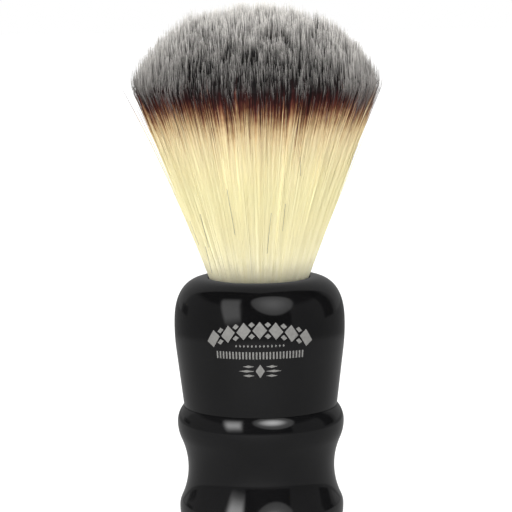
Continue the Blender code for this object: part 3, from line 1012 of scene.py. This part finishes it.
def fade_edges(data, soft, rim):
    """Lets an area light fade over a share of its width and height; an ellipse also dims towards its rim."""
    data.use_nodes = True
    nodes, links = data.node_tree.nodes, data.node_tree.links
    place = add(nodes, "ShaderNodeNewGeometry")
    if data.shape == "ELLIPSE":
        offset = add(nodes, "ShaderNodeVectorMath", operation="DISTANCE")
        links.new(place.outputs["Parametric"], offset.inputs[0])
        offset.inputs[1].default_value = (0.5, 0.5, 0.0)
        edge = step_up(nodes, links, offset.outputs["Value"], 0.5, 0.5 - soft[0] / 2)
        middle = step_up(nodes, links, offset.outputs["Value"], 0.5, 0.0)
        body = calculate(nodes, links, "MULTIPLY", middle, 1.0 - rim)
        body = calculate(nodes, links, "ADD", body, rim)
        strength = calculate(nodes, links, "MULTIPLY", edge, body)
    else:
        split = add(nodes, "ShaderNodeSeparateXYZ")
        links.new(place.outputs["Parametric"], split.inputs[0])
        strength = 1.0
        for way, share in zip(("X", "Y"), soft):
            for end in (0.0, 1.0):
                edge = step_up(nodes, links, split.outputs[way], end, abs(end - share))
                strength = calculate(nodes, links, "MULTIPLY", edge, strength)
    links.new(strength, nodes["Emission"].inputs["Strength"])


def add_softbox(
    name,
    way,
    size,
    radiance,
    shape="RECTANGLE",
    roll=0.0,
    soft=(0.16, 0.16),
    rim=1.0,
    distance=SOFTBOX_DISTANCE,
):
    """An area light; way (azimuth from -Y towards +X, and elevation), size and roll are in degrees."""
    turn, rise = (math.radians(angle) for angle in way)
    way = Vector((math.sin(turn) * math.cos(rise), -math.cos(turn) * math.cos(rise), math.sin(rise)))
    width, height = (2 * distance * math.tan(math.radians(angle / 2)) for angle in size)
    data = bpy.data.lights.new(name, "AREA")
    data.shape = shape
    data.size = width
    data.size_y = height
    data.energy = radiance * math.pi * width * height * (math.pi / 4 if shape == "ELLIPSE" else 1.0)
    fade_edges(data, soft, rim)
    light = bpy.data.objects.new(name, data)
    facing = (-way).to_track_quat("-Z", "Y").to_matrix().to_4x4()
    tilt = Matrix.Rotation(math.radians(roll), 4, "Z")
    light.matrix_world = Matrix.Translation(Vector((0, 0, LIGHT_AIM_Z)) + way * distance) @ facing @ tilt
    light.visible_camera = False
    bpy.context.scene.collection.objects.link(light)
    return light


def make_lights(grip):
    """Two softboxes, and two fills that the gloss doesn't mirror.

    The lower shell also mirrors two cores, the bright middles of the softboxes.
    """
    add_softbox("softbox_left", (-43, 29), (30, 66), 1.35, roll=17.5, soft=(0.2, 0.3))
    add_softbox("softbox_right", (22, 44), (54, 60), 1.95, "ELLIPSE", rim=0.42)
    for fill in (
        add_softbox("fill", (-8, 35), (62, 54), FILL_LIGHT),
        add_softbox("fill_low", (-4, 6), (80, 44), LOW_FILL_LIGHT),
    ):
        fill.visible_glossy = False
    on_grip = bpy.data.collections.new("lit_by_cores")
    on_grip.objects.link(grip)
    core_left = add_softbox(
        "core_left", (-42, 31), (28, 50), 4.5, roll=17.5, soft=(0.3, 0.5), distance=CORE_DISTANCE
    )
    core_right = add_softbox(
        "core_right", (20, 47), (46, 44), 7.5, "ELLIPSE", soft=(0.5, 0.5), rim=0.0, distance=CORE_DISTANCE
    )
    for core in (core_left, core_right):
        core.light_linking.receiver_collection = on_grip


def table_glow(nodes, links):
    """How bright the gloss sees the floor: a table top, brightest in front of the brush, in a dimmer room."""
    place = add(nodes, "ShaderNodeTexCoord")
    reach = add(nodes, "ShaderNodeVectorMath", operation="LENGTH")
    links.new(place.outputs["Object"], reach.inputs[0])
    off_table = step_up(nodes, links, reach.outputs["Value"], *TABLE_EDGE_R)
    table = darkened(nodes, links, TABLE_GLOW, off_table, OFF_TABLE_DARKENING)
    offset = add(nodes, "ShaderNodeVectorMath", operation="SUBTRACT")
    offset.inputs[1].default_value = TABLE_SPOT
    links.new(place.outputs["Object"], offset.inputs[0])
    from_front = add(nodes, "ShaderNodeVectorMath", operation="LENGTH")
    links.new(offset.outputs["Vector"], from_front.inputs[0])
    near = step_up(nodes, links, from_front.outputs["Value"], *TABLE_SPOT_R)
    extra = calculate(nodes, links, "MULTIPLY", near, TABLE_SPOT_GLOW)
    return calculate(nodes, links, "ADD", table, extra)


def make_floor():
    """A pale floor that the camera sees almost white and the gloss sees as a dim table top."""
    material, nodes, links, shader = new_material("floor")
    nodes.remove(shader)
    output = nodes["Material Output"]
    diffuse = add(nodes, "ShaderNodeBsdfDiffuse", Color=(FLOOR_SHADE, FLOOR_SHADE, FLOOR_SHADE, 1.0))
    glow = add(nodes, "ShaderNodeEmission")
    links.new(shade_by_ray(nodes, links, FLOOR_GLOW, table_glow(nodes, links), 0.0), glow.inputs["Color"])
    both = add(nodes, "ShaderNodeAddShader")
    links.new(diffuse.outputs[0], both.inputs[0])
    links.new(glow.outputs[0], both.inputs[1])
    path = add(nodes, "ShaderNodeLightPath")
    chosen = add(nodes, "ShaderNodeMixShader")
    links.new(path.outputs["Is Glossy Ray"], chosen.inputs[0])
    links.new(both.outputs[0], chosen.inputs[1])
    links.new(glow.outputs[0], chosen.inputs[2])
    links.new(chosen.outputs[0], output.inputs["Surface"])
    mesh = bpy.data.meshes.new("floor")
    half = FLOOR_SIZE / 2
    corners = [(-half, -half, 0), (half, -half, 0), (half, half, 0), (-half, half, 0)]
    mesh.from_pydata(corners, [], [(0, 1, 2, 3)])
    mesh.materials.append(material)
    floor = bpy.data.objects.new("floor", mesh)
    bpy.context.scene.collection.objects.link(floor)


def make_camera():
    data = bpy.data.cameras.new("camera")
    data.lens = CAMERA_LENS_MM
    data.sensor_width = 36.0
    data.clip_start = 0.01
    camera = bpy.data.objects.new("camera", data)
    tilt = Matrix.Rotation(math.pi / 2 - CAMERA_PITCH, 4, "X")
    yaw = Matrix.Rotation(CAMERA_YAW, 4, "Z")
    roll = Matrix.Rotation(CAMERA_ROLL, 4, "Z")
    place = Matrix.Translation((0, -CAMERA_DISTANCE, CAMERA_Z))
    camera.matrix_world = place @ yaw @ tilt @ roll
    bpy.context.scene.collection.objects.link(camera)
    bpy.context.scene.camera = camera


make_camera()
make_world()
make_lights(make_handle())
finish_inner_nodes()
make_ornament()
make_floor()
make_knot()
bpy.context.scene.view_settings.view_transform = "Standard"
